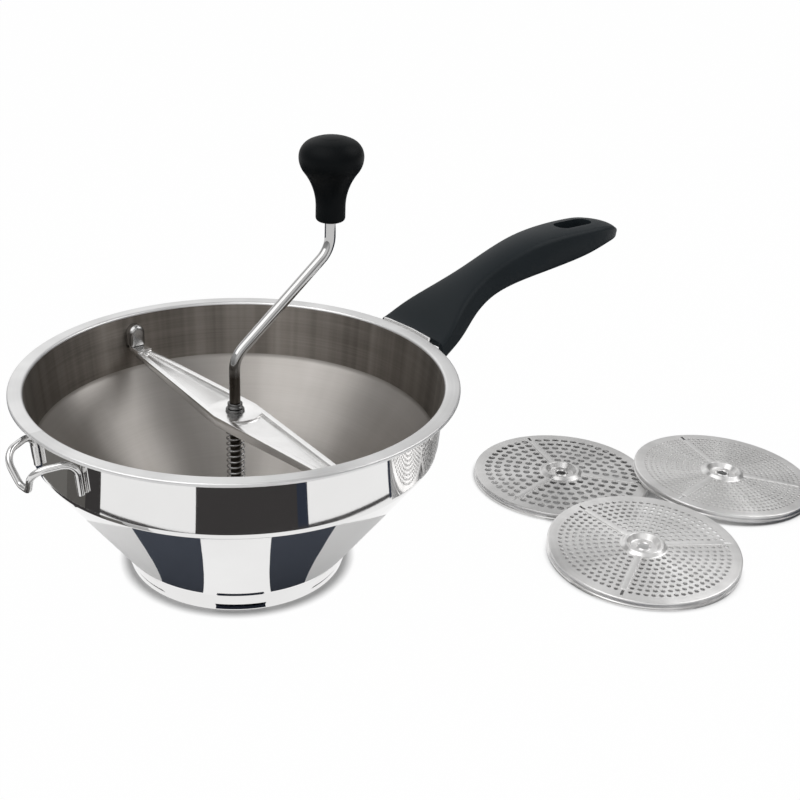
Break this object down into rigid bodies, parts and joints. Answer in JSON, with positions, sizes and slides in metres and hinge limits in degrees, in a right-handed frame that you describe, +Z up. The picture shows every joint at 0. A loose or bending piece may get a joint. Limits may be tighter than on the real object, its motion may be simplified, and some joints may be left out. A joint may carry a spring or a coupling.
{
  "type": "food mill",
  "caption": "Hand-cranked food mill: flared steel strainer bowl with handle and pan hook, crossbar, sprung crank with pressing blade, and loose sieve discs.",
  "frame": {"origin": "centre of the bowl's outlet, on the surface that the mill stands on", "axes": "+Z up along the crank's shaft, +X along the handle, crossbar along Y"},
  "size_m": [0.4792, 0.3099, 0.2304],
  "materials": {
    "bowl_steel": "mirror polished outside, brushed inside",
    "hood_steel": "pressed, polished",
    "bracket_steel": "polished",
    "handle_phenolic": "satin black moulding",
    "screw_steel": "plain steel",
    "wire_chrome": "bright wire",
    "bar_steel": "polished pressing",
    "bush_steel": "turned",
    "washer_steel": "plain steel",
    "spring_steel": "spring wire",
    "rod_chrome": "bright rod",
    "blade_steel": "pressed",
    "hub_steel": "turned",
    "knob_phenolic": "satin black moulding",
    "disc_steel": "satin pressing"
  },
  "bodies": {
    "bowl": {"bowl": "bowl_steel", "hood_left": "hood_steel", "hood_right": "hood_steel", "handle_bracket": "bracket_steel", "handle_grip": "handle_phenolic", "handle_screw": "screw_steel", "pan_hook": "wire_chrome"},
    "crossbar": {"crossbar": "bar_steel", "bar_bush": "bush_steel"},
    "spring_seat": {"spring_washer_upper": "washer_steel", "spring": "spring_steel"},
    "crank": {"spring_washer_lower": "washer_steel", "crank_rod": "rod_chrome", "crank_collar": "bush_steel", "blade_front": "blade_steel", "blade_rear": "blade_steel", "blade_hub": "hub_steel", "hub_pin": "screw_steel", "knob_stop": "bush_steel", "knob_retainer": "washer_steel"},
    "knob": {"knob": "knob_phenolic", "knob_cap": "knob_phenolic"},
    "coarse_disc": {"disc_coarse": "disc_steel"},
    "medium_disc": {"disc_medium": "disc_steel"},
    "fine_disc": {"disc_fine": "disc_steel"}
  },
  "joints": [
    {"name": "crossbar_turn", "type": "hinge", "parent": "bowl", "child": "crossbar", "pos_m": [0, 0, 0.0896], "axis": [0, 0, 1], "range_deg": [0, 25]},
    {"name": "crank_spin", "type": "hinge", "parent": "crossbar", "child": "spring_seat", "pos_m": [0, 0, 0.085], "axis": [0, 0, 1], "continuous": true},
    {"name": "crank_lift", "type": "slide", "parent": "spring_seat", "child": "crank", "axis": [0, 0, 1], "range_m": [0, 0.01], "stiffness_N_per_m": 800, "springref_m": -0.008, "deforming": ["spring"]},
    {"name": "knob_spin", "type": "hinge", "parent": "crank", "child": "knob", "pos_m": [0.0625, 0, 0.2], "axis": [0, 0, 1], "continuous": true},
    {"name": "coarse_disc_slide", "type": "slide", "parent": "bowl", "child": "coarse_disc", "axis": [-0.2924, 0.9563, 0], "range_m": [0, 0.03]},
    {"name": "medium_disc_lift", "type": "slide", "parent": "bowl", "child": "medium_disc", "axis": [0, 0, 1], "range_m": [0, 0.04]},
    {"name": "fine_disc_slide", "type": "slide", "parent": "bowl", "child": "fine_disc", "axis": [0.6157, 0.788, 0], "range_m": [0, 0.03]}
  ]
}
